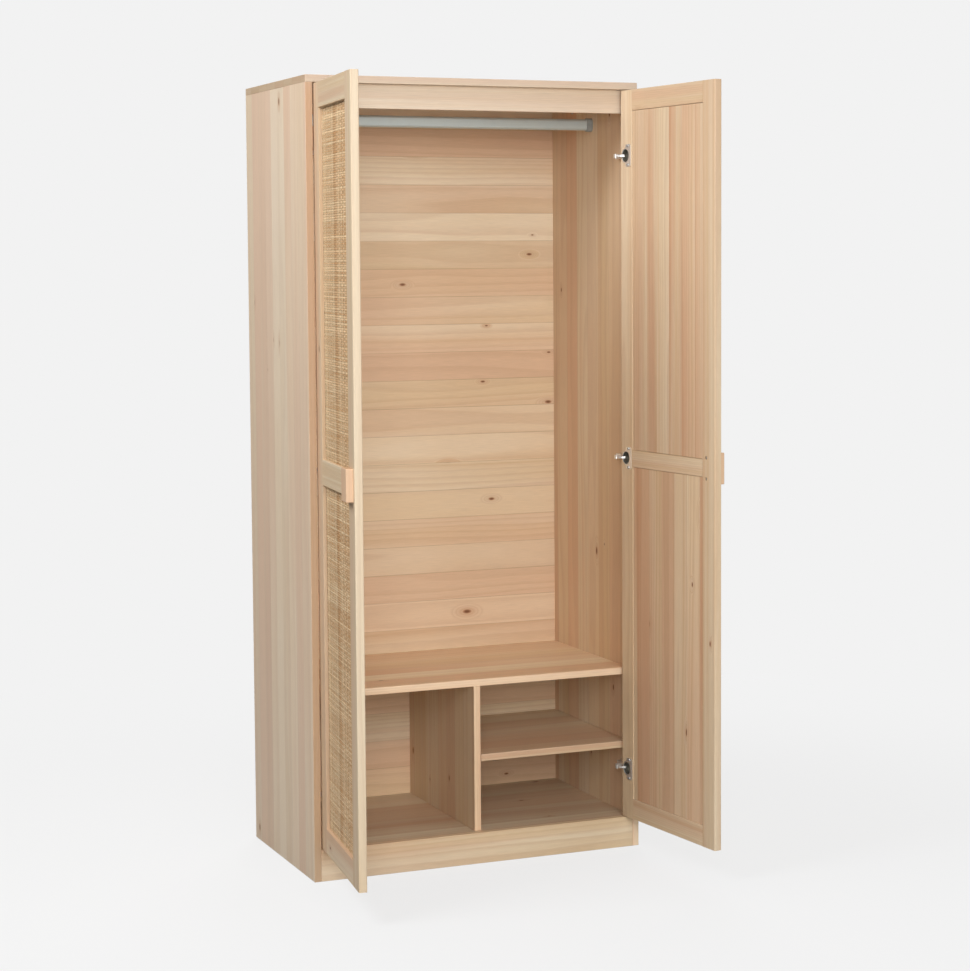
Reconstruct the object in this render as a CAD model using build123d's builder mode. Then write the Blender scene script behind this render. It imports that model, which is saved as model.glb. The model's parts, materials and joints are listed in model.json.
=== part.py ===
from build123d import *
import os
from math import cos, radians, sin

# Two-door wardrobe in edge-glued softwood. The doors stand open at rest.
# Origin: centre of the carcass footprint on the floor. +X right, -Y front, +Z up. Millimetres.

# ---- driving dimensions: carcass ----
WIDTH = 900.0
DEPTH = 500.0
HEIGHT = 2000.0
BOARD = 18.0
BACK_THICKNESS = 9.0
BACK_RABBET = 9.0
PLINTH_HEIGHT = 80.0
FRONT_RAIL_HEIGHT = 60.0
DOOR_TO_INTERIOR_GAP = 2.0
MID_SHELF_TOP = 474.0
HALF_SHELF_TOP = 278.0
HALF_SHELF_PLAY = 1.0
EDGE_ROUNDING = 1.0

# ---- driving dimensions: clothes rail ----
CLOTHES_RAIL_HEIGHT = 30.0
CLOTHES_RAIL_WIDTH = 15.0
CLOTHES_RAIL_WALL = 1.5
CLOTHES_RAIL_Z = 1905.0
CLOTHES_RAIL_Y = -10.0
CLOTHES_RAIL_END_GAP = 6.0
SOCKET_RIM = 3.0
SOCKET_BASE = 3.0
SOCKET_LENGTH = 16.0
SOCKET_PLAY = 0.3
SOCKET_SCREW_SPACING = 15.0

# ---- driving dimensions: doors ----
DOOR_THICKNESS = 20.0
DOOR_SIDE_GAP = 2.5
DOOR_CENTRE_GAP = 2.0
DOOR_END_GAP = 3.0
FRAME_WIDTH = 62.0
FRAME_LIP = 9.0
PANEL_RABBET = 9.0
FREE_EDGE_ROUNDING = 2.5
PANEL_PLAY = 0.8
CANE_THICKNESS = 2.0
PANEL_THICKNESS = 7.0
LEFT_DOOR_OPEN = 97.0
RIGHT_DOOR_OPEN = 96.0

# ---- driving dimensions: handles ----
HANDLE_WIDTH = 52.0
HANDLE_HEIGHT = 78.0
HANDLE_THICKNESS = 17.5
HANDLE_FROM_EDGE = 12.0
HANDLE_ROUNDING = 2.5
HANDLE_SCREW_SPACING = 52.0
HANDLE_SCREW_LENGTH = 27.0
HANDLE_SCREW_SINK = 4.0

# ---- driving dimensions: concealed hinges ----
# Hinge points are (inward from the side panel's inner face, rearward from the front plane).
HINGE_HEIGHTS = (213.0, 1031.0, 1812.0)
SWING_AXIS = (8.25, 3.9)
CUP_FROM_EDGE = 23.0
CUP_DIAMETER = 35.0
CUP_WALL = 0.9
CUP_DEPTH = 13.3
CUP_RIM_DIAMETER = 37.0
FLANGE_THICKNESS = 1.2
FLANGE_WIDTH = 26.0
FLANGE_HEIGHT = 58.0
FLANGE_SCREW_OFFSET = 12.0
FLANGE_SCREW_SPACING = 48.0
NOSE = (37.9, 12.9)
NOSE_RADIUS = 2.6
NOSE_WIDTH = 10.6
PIN_DIAMETER = 2.6
PIN_PLAY = 0.05
LINK_REACH = 24.0
LINK_SAG = 3.7
LINK_THICKNESS = 2.0
LINK_WIDTH = 5.0
LINK_SIDE_PLAY = 0.4
LINK_START = -1.36
LINK_RATIO = 0.436
ARM_THICKNESS = 2.0
ARM_SEAT = 11.0
ARM_BEND = 3.0
ARM_BACK = 25.0
ARM_END = 66.0
PLATE_BASE = 1.5
PLATE_HEIGHT = 50.0
PLATE_DEPTH = 24.0
PLATE_SETBACK = 38.0
PLATE_SCREW_SPACING = 32.0
PLATE_SPINE_WIDTH = 10.0

# ---- driving dimensions: fasteners ----
DOWEL_DIAMETER = 8.0
DOWEL_IN_END = 20.0
DOWEL_IN_FACE = 11.0
CAM_DIAMETER = 15.0
CAM_THICKNESS = 12.5
CAM_FROM_END = 34.0
CAM_BOLT_DIAMETER = 6.0
CAM_BOLT_IN_FACE = 11.0
SHELF_PIN_DIAMETER = 5.0
SHELF_PIN_IN = 8.0
SHELF_PIN_OUT = 9.0
WOOD_SCREW_DIAMETER = 3.5
WOOD_SCREW_HEAD = 7.0
WOOD_SCREW_HEAD_HEIGHT = 2.2
WOOD_SCREW_LENGTH = 15.0
SCREW_HEAD_TAPER = 35.0
CROSS_WIDTH = 0.9
CROSS_SPAN = 4.0
CROSS_DEPTH = 1.3
BACK_SCREW_DIAMETER = 3.0
BACK_SCREW_LENGTH = 25.0
BACK_SCREWS_UP_SIDE = 12
BACK_SCREWS_ACROSS = 5

# ---- derived positions ----
INNER_X = WIDTH / 2 - BOARD
FRONT_Y = -DEPTH / 2
BACK_Y = DEPTH / 2
INTERIOR_FRONT_Y = FRONT_Y + DOOR_THICKNESS + DOOR_TO_INTERIOR_GAP
INTERIOR_BACK_Y = BACK_Y - BACK_THICKNESS
TOP_UNDERSIDE = HEIGHT - BOARD
BOTTOM_BOARD_UNDERSIDE = PLINTH_HEIGHT - BOARD
MID_SHELF_UNDERSIDE = MID_SHELF_TOP - BOARD
HALF_SHELF_UNDERSIDE = HALF_SHELF_TOP - BOARD

DOOR_BOTTOM = PLINTH_HEIGHT + DOOR_END_GAP
DOOR_TOP = TOP_UNDERSIDE - DOOR_END_GAP
DOOR_MIDDLE = (DOOR_BOTTOM + DOOR_TOP) / 2
DOOR_WIDTH = INNER_X - DOOR_SIDE_GAP - DOOR_CENTRE_GAP / 2
DOOR_HINGE_EDGE_X = -INNER_X + DOOR_SIDE_GAP
DOOR_FREE_EDGE_X = DOOR_HINGE_EDGE_X + DOOR_WIDTH
DOOR_INNER_FACE_Y = FRONT_Y + DOOR_THICKNESS
DOOR_LIP_BACK_Y = FRONT_Y + FRAME_LIP
CUP_X = DOOR_HINGE_EDGE_X + CUP_FROM_EDGE
HANDLE_X = DOOR_FREE_EDGE_X - HANDLE_FROM_EDGE - HANDLE_WIDTH / 2

MIRROR_PLANE = Plane.YZ
LEFT_SWING_AXIS = Axis((-INNER_X + SWING_AXIS[0], FRONT_Y + SWING_AXIS[1], 0), (0, 0, -1))
RIGHT_SWING_AXIS = Axis((INNER_X - SWING_AXIS[0], FRONT_Y + SWING_AXIS[1], 0), (0, 0, 1))
LEFT_LINK_AXIS = Axis((-INNER_X + NOSE[0], FRONT_Y + NOSE[1], 0), (0, 0, 1))
RIGHT_LINK_AXIS = Axis((INNER_X - NOSE[0], FRONT_Y + NOSE[1], 0), (0, 0, -1))


def save(piece, name):
    piece.part.label = name
    export_step(piece.part, f"parts/{name}.step")


def at(origin, direction):
    """A plane at a point, facing along a row axis, with its x direction level."""
    level = (0, 1, 0) if direction[0] else (1, 0, 0)
    return Plane(origin=origin, x_dir=level, z_dir=direction)


def mirrored(piece):
    with BuildPart() as twin:
        mirror(piece.part, about=MIRROR_PLANE)
    return twin


def save_pair(piece, name):
    """Write a fixed left-hand piece and its right-hand twin."""
    save(piece, f"left_{name}")
    save(mirrored(piece), f"right_{name}")


def turned(piece, axis, angle):
    with BuildPart() as moved:
        add(piece.part.rotate(axis, angle))
    return moved


def save_door_piece(piece, name):
    """Write a closed left-door piece as it stands on each open door."""
    save(turned(piece, LEFT_SWING_AXIS, LEFT_DOOR_OPEN), f"left_door_{name}")
    save(turned(mirrored(piece), RIGHT_SWING_AXIS, RIGHT_DOOR_OPEN), f"right_door_{name}")


def board(low, high, cuts=(), rounding=0.0):
    """A board between two corners, its arrises eased if it has a rounding, and its holes cut."""
    size = [high[i] - low[i] for i in range(3)]
    middle = [(high[i] + low[i]) / 2 for i in range(3)]
    with BuildPart() as piece:
        with BuildSketch(Plane.XY.offset(low[2])):
            with Locations((middle[0], middle[1])):
                Rectangle(size[0], size[1])
        extrude(amount=size[2])
        if rounding:
            fillet(piece.edges(), rounding)
        for cut in cuts:
            add(cut.part, mode=Mode.SUBTRACT)
    return piece


def screw(places, diameter, length, head_diameter, head_height, sunk=False):
    """A group of equal cross-head screws. Each place is (point under the head, direction it points)."""
    with BuildPart() as group:
        for point, direction in places:
            seat = at(point, direction)
            with BuildSketch(seat):
                Circle(diameter / 2)
            extrude(amount=length)
            with BuildSketch(seat):
                Circle(head_diameter / 2)
            if sunk:
                top = seat
                extrude(amount=head_height, taper=45)
            else:
                top = seat.offset(-head_height)
                extrude(amount=-head_height / 2)
                with BuildSketch(seat.offset(-head_height / 2)):
                    Circle(head_diameter / 2)
                extrude(amount=-head_height / 2, taper=SCREW_HEAD_TAPER)
            with BuildSketch(top):
                Rectangle(CROSS_SPAN, CROSS_WIDTH)
                Rectangle(CROSS_WIDTH, CROSS_SPAN)
            extrude(amount=CROSS_DEPTH, mode=Mode.SUBTRACT)
    return group


os.makedirs("parts", exist_ok=True)

# ---- joint hardware: beech dowels, cam bolts and cam discs ----
# A place is (point on the joint face, direction into the board's end, cam face normal).
SHELF_DOWEL_YS = (-180.0, 200.0)
SHELF_CAM_YS = (-120.0, 140.0)
TOP_DOWEL_YS = (-190.0, 0.0, 190.0)
TOP_CAM_YS = (-110.0, 110.0)
PLINTH_DOWEL_ZS = (20.0, 44.0)
RAIL_DOWEL_DROP = 42.0
RAIL_CAM_DROP = 18.0

bottom_board_z = BOTTOM_BOARD_UNDERSIDE + BOARD / 2
mid_shelf_z = MID_SHELF_UNDERSIDE + BOARD / 2
front_rail_y = INTERIOR_FRONT_Y + BOARD / 2
plinth_front_y = FRONT_Y + BOARD / 2
plinth_back_y = INTERIOR_BACK_Y - BOARD / 2
side_panel_x = INNER_X + BOARD / 2

dowel_places = []
cam_places = []
for side in (-1, 1):
    inward = (-side, 0, 0)
    for level in (bottom_board_z, mid_shelf_z):
        dowel_places += [((side * INNER_X, y, level), inward) for y in SHELF_DOWEL_YS]
        cam_places += [((side * INNER_X, y, level), inward, (0, 0, -1)) for y in SHELF_CAM_YS]
    for depth_y in (plinth_front_y, plinth_back_y):
        dowel_places += [((side * INNER_X, depth_y, z), inward) for z in PLINTH_DOWEL_ZS]
    dowel_places.append(((side * INNER_X, front_rail_y, TOP_UNDERSIDE - RAIL_DOWEL_DROP), inward))
    rail_cam = (side * INNER_X, front_rail_y, TOP_UNDERSIDE - RAIL_CAM_DROP)
    cam_places.append((rail_cam, inward, (0, 1, 0)))
    dowel_places += [((side * side_panel_x, y, TOP_UNDERSIDE), (0, 0, -1)) for y in TOP_DOWEL_YS]
    for y in TOP_CAM_YS:
        cam_places.append(((side * side_panel_x, y, TOP_UNDERSIDE), (0, 0, -1), inward))
for y in SHELF_DOWEL_YS:
    dowel_places.append(((0, y, MID_SHELF_UNDERSIDE), (0, 0, -1)))
    dowel_places.append(((0, y, PLINTH_HEIGHT), (0, 0, 1)))
for y in SHELF_CAM_YS:
    cam_places.append(((0, y, MID_SHELF_UNDERSIDE), (0, 0, -1), (1, 0, 0)))

with BuildPart() as dowels:
    for point, into_end in dowel_places:
        with BuildSketch(at(point, into_end).offset(-DOWEL_IN_FACE)):
            Circle(DOWEL_DIAMETER / 2)
        extrude(amount=DOWEL_IN_FACE + DOWEL_IN_END)
save(dowels, "dowels")

with BuildPart() as cam_bolts:
    for point, into_end, _ in cam_places:
        with BuildSketch(at(point, into_end).offset(-CAM_BOLT_IN_FACE)):
            Circle(CAM_BOLT_DIAMETER / 2)
        extrude(amount=CAM_BOLT_IN_FACE + CAM_FROM_END)
save(cam_bolts, "cam_bolts")

with BuildPart() as cam_discs:
    for point, into_end, facing in cam_places:
        centre = Vector(point) + Vector(into_end) * CAM_FROM_END + Vector(facing) * BOARD / 2
        with BuildSketch(at(centre, facing)):
            Circle(CAM_DIAMETER / 2)
        extrude(amount=-CAM_THICKNESS)
    add(cam_bolts.part, mode=Mode.SUBTRACT)
save(cam_discs, "cam_discs")

joint_hardware = (dowels, cam_bolts, cam_discs)

# ---- shelf pins under the half shelf ----
SHELF_PIN_YS = (-190.0, 205.0)
pin_z = HALF_SHELF_UNDERSIDE - SHELF_PIN_DIAMETER / 2
with BuildPart() as shelf_pins:
    for y in SHELF_PIN_YS:
        for face_x, direction in ((BOARD / 2, 1), (INNER_X, -1)):
            with BuildSketch(at((face_x, y, pin_z), (direction, 0, 0)).offset(-SHELF_PIN_IN)):
                Circle(SHELF_PIN_DIAMETER / 2)
            extrude(amount=SHELF_PIN_IN + SHELF_PIN_OUT)
save(shelf_pins, "shelf_pins")

# ---- back panel screws, sunk flush in the back ----
back_edge_x = INNER_X + BACK_RABBET / 2
upright_span = TOP_UNDERSIDE - BOTTOM_BOARD_UNDERSIDE
upright_pitch = upright_span / BACK_SCREWS_UP_SIDE
across_pitch = 2 * INNER_X / (BACK_SCREWS_ACROSS + 1)
back_screw_places = []
for i in range(BACK_SCREWS_UP_SIDE):
    z = BOTTOM_BOARD_UNDERSIDE + (i + 0.5) * upright_pitch
    back_screw_places += [((side * back_edge_x, BACK_Y, z), (0, -1, 0)) for side in (-1, 1)]
for level in (bottom_board_z, mid_shelf_z):
    for i in range(BACK_SCREWS_ACROSS):
        x = -INNER_X + (i + 1) * across_pitch
        back_screw_places.append(((x, BACK_Y, level), (0, -1, 0)))
back_screws = screw(back_screw_places, BACK_SCREW_DIAMETER, BACK_SCREW_LENGTH,
                    WOOD_SCREW_HEAD, WOOD_SCREW_HEAD_HEIGHT, sunk=True)
save(back_screws, "back_screws")

# ---- clothes rail: oval tube in two screwed end sockets ----


def oval(height, width):
    SlotOverall(height, width, rotation=90)


rail_plane = Plane.YZ.offset(-INNER_X + CLOTHES_RAIL_END_GAP)
rail_centre = (CLOTHES_RAIL_Y, CLOTHES_RAIL_Z)
with BuildPart() as clothes_rail:
    with BuildSketch(rail_plane):
        with Locations(rail_centre):
            oval(CLOTHES_RAIL_HEIGHT, CLOTHES_RAIL_WIDTH)
            SlotOverall(CLOTHES_RAIL_HEIGHT - 2 * CLOTHES_RAIL_WALL,
                        CLOTHES_RAIL_WIDTH - 2 * CLOTHES_RAIL_WALL,
                        rotation=90, mode=Mode.SUBTRACT)
    extrude(amount=2 * (INNER_X - CLOTHES_RAIL_END_GAP))
save(clothes_rail, "clothes_rail")

socket_outer_height = CLOTHES_RAIL_HEIGHT + 2 * SOCKET_RIM
socket_outer_width = CLOTHES_RAIL_WIDTH + 2 * SOCKET_RIM
socket_screw_x = -INNER_X + SOCKET_BASE
socket_screw_places = [
    ((socket_screw_x, CLOTHES_RAIL_Y, CLOTHES_RAIL_Z + up * SOCKET_SCREW_SPACING / 2), (-1, 0, 0))
    for up in (-1, 1)
]
socket_screws = screw(socket_screw_places, WOOD_SCREW_DIAMETER, WOOD_SCREW_LENGTH,
                      WOOD_SCREW_HEAD, WOOD_SCREW_HEAD_HEIGHT)
with BuildPart() as rail_socket:
    with BuildSketch(Plane.YZ.offset(-INNER_X)):
        with Locations(rail_centre):
            oval(socket_outer_height, socket_outer_width)
    extrude(amount=SOCKET_BASE)
    with BuildSketch(Plane.YZ.offset(-INNER_X + SOCKET_BASE)):
        with Locations(rail_centre):
            oval(socket_outer_height, socket_outer_width)
            SlotOverall(CLOTHES_RAIL_HEIGHT + 2 * SOCKET_PLAY, CLOTHES_RAIL_WIDTH + 2 * SOCKET_PLAY,
                        rotation=90, mode=Mode.SUBTRACT)
    extrude(amount=SOCKET_LENGTH - SOCKET_BASE)
    fillet(rail_socket.faces().sort_by(Axis.X)[-1].outer_wire().edges(), EDGE_ROUNDING)
    add(socket_screws.part, mode=Mode.SUBTRACT)
save_pair(rail_socket, "rail_socket")
save_pair(socket_screws, "rail_socket_screws")

# ---- concealed hinges, carcass side: plate, screws, arm and pin ----


def hinge_plane(height):
    """The horizontal plane through a hinge, with its origin at the front inner corner of the left side."""
    return Plane(origin=(-INNER_X, FRONT_Y, height), x_dir=(1, 0, 0), z_dir=(0, 0, 1))


plate_screw_places = [
    ((-INNER_X + PLATE_BASE, FRONT_Y + PLATE_SETBACK, z + up * PLATE_SCREW_SPACING / 2), (-1, 0, 0))
    for z in HINGE_HEIGHTS
    for up in (-1, 1)
]
plate_screws = screw(plate_screw_places, WOOD_SCREW_DIAMETER, WOOD_SCREW_LENGTH,
                     WOOD_SCREW_HEAD, WOOD_SCREW_HEAD_HEIGHT)

with BuildPart() as hinge_plates:
    for height in HINGE_HEIGHTS:
        with BuildSketch(Plane.YZ.offset(-INNER_X)):
            with Locations((FRONT_Y + PLATE_SETBACK, height)):
                RectangleRounded(PLATE_DEPTH, PLATE_HEIGHT, PLATE_DEPTH / 3)
        extrude(amount=PLATE_BASE)
        with BuildSketch(Plane.YZ.offset(-INNER_X)):
            with Locations((FRONT_Y + (ARM_BACK + ARM_END) / 2 + ARM_BEND, height)):
                Rectangle(ARM_END - ARM_BACK - ARM_BEND, PLATE_SPINE_WIDTH)
        extrude(amount=ARM_SEAT)
    add(plate_screws.part, mode=Mode.SUBTRACT)
save_pair(hinge_plates, "hinge_plates")
save_pair(plate_screws, "hinge_plate_screws")

arm_centre = ARM_SEAT + ARM_THICKNESS / 2
arm_route = [(arm_centre, ARM_END), (arm_centre, ARM_BACK), (NOSE[0], ARM_BACK), NOSE]
ear_width = (NOSE_WIDTH - LINK_WIDTH) / 2 - LINK_SIDE_PLAY

with BuildPart() as hinge_pins:
    for height in HINGE_HEIGHTS:
        with BuildSketch(hinge_plane(height).offset(-NOSE_WIDTH / 2)):
            with Locations(NOSE):
                Circle(PIN_DIAMETER / 2)
        extrude(amount=NOSE_WIDTH)
save_pair(hinge_pins, "hinge_pins")

with BuildPart() as hinge_arms:
    for height in HINGE_HEIGHTS:
        with BuildSketch(hinge_plane(height).offset(-NOSE_WIDTH / 2)):
            with BuildLine():
                FilletPolyline(*arm_route, radius=ARM_BEND)
            trace(line_width=ARM_THICKNESS)
            with Locations(NOSE):
                Circle(NOSE_RADIUS)
        extrude(amount=NOSE_WIDTH)
        # slot between the two ears, where the link turns
        with BuildSketch(hinge_plane(height).offset(-LINK_WIDTH / 2 - LINK_SIDE_PLAY)):
            with Locations(NOSE):
                Rectangle(4 * NOSE_RADIUS, 4 * NOSE_RADIUS)
        extrude(amount=LINK_WIDTH + 2 * LINK_SIDE_PLAY, mode=Mode.SUBTRACT)
    add(hinge_pins.part, mode=Mode.SUBTRACT)
save_pair(hinge_arms, "hinge_arms")

# ---- hinge links: swan-necked, turning on the arm's nose, free end in the cup ----
link_angle = radians(180 + LINK_START)
link_along = Vector(cos(link_angle), sin(link_angle))
link_aside = Vector(-sin(link_angle), cos(link_angle))


def link_point(share):
    """A point of the link's centre line, from the nose (0) to its free end (1)."""
    sag = 4 * LINK_SAG * share * (1 - share)
    along = link_along * (LINK_REACH * share)
    return Vector(*NOSE) + along + link_aside * sag


with BuildPart() as hinge_links:
    for height in HINGE_HEIGHTS:
        with BuildSketch(hinge_plane(height).offset(-LINK_WIDTH / 2)):
            with BuildLine():
                ThreePointArc(link_point(0), link_point(0.5), link_point(1))
            trace(line_width=LINK_THICKNESS)
            with Locations(NOSE):
                Circle(NOSE_RADIUS)
                Circle(PIN_DIAMETER / 2 + PIN_PLAY, mode=Mode.SUBTRACT)
        extrude(amount=LINK_WIDTH)
save(turned(hinge_links, LEFT_LINK_AXIS, LEFT_DOOR_OPEN * LINK_RATIO), "left_hinge_links")
right_links = mirrored(hinge_links)
save(turned(right_links, RIGHT_LINK_AXIS, RIGHT_DOOR_OPEN * LINK_RATIO), "right_hinge_links")

# ---- carcass boards ----
fixed_hardware = (
    *joint_hardware,
    shelf_pins,
    back_screws,
    plate_screws,
    mirrored(plate_screws),
    socket_screws,
    mirrored(socket_screws),
)

side_panel_low = (-WIDTH / 2, FRONT_Y, 0)
side_panel_high = (-INNER_X, BACK_Y, TOP_UNDERSIDE)
back_rabbet = board((-INNER_X - BACK_RABBET, INTERIOR_BACK_Y, BOTTOM_BOARD_UNDERSIDE),
                    (-INNER_X, BACK_Y, TOP_UNDERSIDE))
carcass_boards = {
    "left_side_panel": (side_panel_low, side_panel_high, (back_rabbet, *fixed_hardware)),
    "right_side_panel": (
        (INNER_X, FRONT_Y, 0),
        (WIDTH / 2, BACK_Y, TOP_UNDERSIDE),
        (mirrored(back_rabbet), *fixed_hardware),
    ),
    "top_panel": (
        (-WIDTH / 2, FRONT_Y, TOP_UNDERSIDE),
        (WIDTH / 2, BACK_Y, HEIGHT),
        joint_hardware,
    ),
    "bottom_board": (
        (-INNER_X, FRONT_Y + BOARD, BOTTOM_BOARD_UNDERSIDE),
        (INNER_X, INTERIOR_BACK_Y, PLINTH_HEIGHT),
        fixed_hardware,
    ),
    "plinth_front": (
        (-INNER_X, FRONT_Y, 0),
        (INNER_X, FRONT_Y + BOARD, PLINTH_HEIGHT),
        joint_hardware,
    ),
    "plinth_back": (
        (-INNER_X, INTERIOR_BACK_Y - BOARD, 0),
        (INNER_X, INTERIOR_BACK_Y, BOTTOM_BOARD_UNDERSIDE),
        joint_hardware,
    ),
    "plinth_brace": (
        (-BOARD / 2, FRONT_Y + BOARD, 0),
        (BOARD / 2, INTERIOR_BACK_Y - BOARD, BOTTOM_BOARD_UNDERSIDE),
        joint_hardware,
    ),
    "front_top_rail": (
        (-INNER_X, INTERIOR_FRONT_Y, TOP_UNDERSIDE - FRONT_RAIL_HEIGHT),
        (INNER_X, INTERIOR_FRONT_Y + BOARD, TOP_UNDERSIDE),
        joint_hardware,
    ),
    "mid_shelf": (
        (-INNER_X, INTERIOR_FRONT_Y, MID_SHELF_UNDERSIDE),
        (INNER_X, INTERIOR_BACK_Y, MID_SHELF_TOP),
        fixed_hardware,
    ),
    "divider": (
        (-BOARD / 2, INTERIOR_FRONT_Y, PLINTH_HEIGHT),
        (BOARD / 2, INTERIOR_BACK_Y, MID_SHELF_UNDERSIDE),
        fixed_hardware,
    ),
    "half_shelf": (
        (BOARD / 2 + HALF_SHELF_PLAY, INTERIOR_FRONT_Y, HALF_SHELF_UNDERSIDE),
        (INNER_X - HALF_SHELF_PLAY, INTERIOR_BACK_Y - HALF_SHELF_PLAY, HALF_SHELF_TOP),
        (),
    ),
}
for board_name, (low, high, cuts) in carcass_boards.items():
    save(board(low, high, cuts, EDGE_ROUNDING), board_name)

back_panel = board((-INNER_X - BACK_RABBET, INTERIOR_BACK_Y, BOTTOM_BOARD_UNDERSIDE),
                   (INNER_X + BACK_RABBET, BACK_Y, TOP_UNDERSIDE), (back_screws,))
save(back_panel, "back_panel")

# ---- hinge cups and their screws, on the closed left door ----
flange_x = CUP_X + FLANGE_SCREW_OFFSET
cup_screw_places = [
    ((flange_x, DOOR_INNER_FACE_Y + FLANGE_THICKNESS, z + up * FLANGE_SCREW_SPACING / 2), (0, -1, 0))
    for z in HINGE_HEIGHTS
    for up in (-1, 1)
]
cup_screws = screw(cup_screw_places, WOOD_SCREW_DIAMETER, WOOD_SCREW_LENGTH,
                   WOOD_SCREW_HEAD, WOOD_SCREW_HEAD_HEIGHT)

with BuildPart() as cup_pockets:
    for height in HINGE_HEIGHTS:
        with BuildSketch(at((CUP_X, DOOR_INNER_FACE_Y, height), (0, -1, 0))):
            Circle(CUP_DIAMETER / 2)
        extrude(amount=CUP_DEPTH)

with BuildPart() as hinge_cups:
    for height in HINGE_HEIGHTS:
        with BuildSketch(at((flange_x, DOOR_INNER_FACE_Y, height), (0, 1, 0))):
            RectangleRounded(FLANGE_WIDTH, FLANGE_HEIGHT, FLANGE_WIDTH / 4)
        extrude(amount=FLANGE_THICKNESS)
        with BuildSketch(at((CUP_X, DOOR_INNER_FACE_Y, height), (0, 1, 0))):
            Circle(CUP_RIM_DIAMETER / 2)
        extrude(amount=FLANGE_THICKNESS)
    add(cup_pockets.part)
    for height in HINGE_HEIGHTS:
        with BuildSketch(at((CUP_X, DOOR_INNER_FACE_Y - CUP_DEPTH + CUP_WALL, height), (0, 1, 0))):
            Circle(CUP_DIAMETER / 2 - CUP_WALL)
        extrude(amount=CUP_DEPTH + FLANGE_THICKNESS, mode=Mode.SUBTRACT)
    add(cup_screws.part, mode=Mode.SUBTRACT)
save_door_piece(hinge_cups, "hinge_cups")
save_door_piece(cup_screws, "hinge_cup_screws")

# ---- handle and its screws, on the closed left door ----
handle_seat_y = DOOR_INNER_FACE_Y - HANDLE_SCREW_SINK
handle_screw_zs = [DOOR_MIDDLE + up * HANDLE_SCREW_SPACING / 2 for up in (-1, 1)]
handle_screw_places = [((HANDLE_X, handle_seat_y, z), (0, -1, 0)) for z in handle_screw_zs]
handle_screws = screw(handle_screw_places, WOOD_SCREW_DIAMETER, HANDLE_SCREW_LENGTH,
                      WOOD_SCREW_HEAD, WOOD_SCREW_HEAD_HEIGHT)
with BuildPart() as handle_counterbores:
    for z in handle_screw_zs:
        with BuildSketch(at((HANDLE_X, DOOR_INNER_FACE_Y, z), (0, -1, 0))):
            Circle(WOOD_SCREW_HEAD / 2 + 1)
        extrude(amount=HANDLE_SCREW_SINK)

with BuildPart() as handle:
    with BuildSketch(at((HANDLE_X, FRONT_Y, DOOR_MIDDLE), (0, -1, 0))):
        Rectangle(HANDLE_WIDTH, HANDLE_HEIGHT)
    extrude(amount=HANDLE_THICKNESS)
    outer_face = handle.faces().sort_by(Axis.Y)[0]
    upright_edges = handle.edges().filter_by(Axis.Y)
    fillet(outer_face.edges() + upright_edges, HANDLE_ROUNDING)
    add(handle_screws.part, mode=Mode.SUBTRACT)
save_door_piece(handle, "handle")
save_door_piece(handle_screws, "handle_screws")

# ---- door frame: two stiles and three rails, with a rabbet for the panels behind ----
STILE_INNER = FRAME_WIDTH
BACK_STILE_INNER = FRAME_WIDTH - PANEL_RABBET
hinge_stile_x = (DOOR_HINGE_EDGE_X, DOOR_HINGE_EDGE_X + STILE_INNER)
hinge_stile_back_x = (DOOR_HINGE_EDGE_X, DOOR_HINGE_EDGE_X + BACK_STILE_INNER)
free_stile_x = (DOOR_FREE_EDGE_X - STILE_INNER, DOOR_FREE_EDGE_X)
free_stile_back_x = (DOOR_FREE_EDGE_X - BACK_STILE_INNER, DOOR_FREE_EDGE_X)


def door_member(front_x, back_x, front_z, back_z, along, cuts=(), free_edge=False):
    """A frame member: a front layer as thick as the lip and a narrower layer behind it."""
    lip = board((front_x[0], FRONT_Y, front_z[0]), (front_x[1], DOOR_LIP_BACK_Y, front_z[1]))
    body = board((back_x[0], DOOR_LIP_BACK_Y, back_z[0]), (back_x[1], DOOR_INNER_FACE_Y, back_z[1]))
    with BuildPart() as member:
        add(lip.part)
        add(body.part)
        if free_edge:
            fillet(member.faces().sort_by(Axis.X)[-1].edges().filter_by(along), FREE_EDGE_ROUNDING)
        long_edges = member.edges().filter_by(along).group_by(Axis.Y)
        fillet(long_edges[0] + long_edges[-1], EDGE_ROUNDING)
        for cut in cuts:
            add(cut.part, mode=Mode.SUBTRACT)
    return member


door_z = (DOOR_BOTTOM, DOOR_TOP)
hinge_stile = door_member(hinge_stile_x, hinge_stile_back_x, door_z, door_z, Axis.Z,
                          (cup_pockets, cup_screws))
save_door_piece(hinge_stile, "hinge_stile")
free_stile = door_member(free_stile_x, free_stile_back_x, door_z, door_z, Axis.Z,
                         (handle_counterbores, handle_screws), free_edge=True)
save_door_piece(free_stile, "free_stile")

rail_x = (hinge_stile_x[1], free_stile_x[0])
rail_back_x = (hinge_stile_back_x[1], free_stile_back_x[0])
rail_zs = {
    "top_rail": ((DOOR_TOP - FRAME_WIDTH, DOOR_TOP), (DOOR_TOP - BACK_STILE_INNER, DOOR_TOP)),
    "mid_rail": (
        (DOOR_MIDDLE - FRAME_WIDTH / 2, DOOR_MIDDLE + FRAME_WIDTH / 2),
        (DOOR_MIDDLE - FRAME_WIDTH / 2 + PANEL_RABBET, DOOR_MIDDLE + FRAME_WIDTH / 2 - PANEL_RABBET),
    ),
    "bottom_rail": (
        (DOOR_BOTTOM, DOOR_BOTTOM + FRAME_WIDTH),
        (DOOR_BOTTOM, DOOR_BOTTOM + BACK_STILE_INNER),
    ),
}
for rail_name, (front_z, back_z) in rail_zs.items():
    save_door_piece(door_member(rail_x, rail_back_x, front_z, back_z, Axis.X), rail_name)

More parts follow.
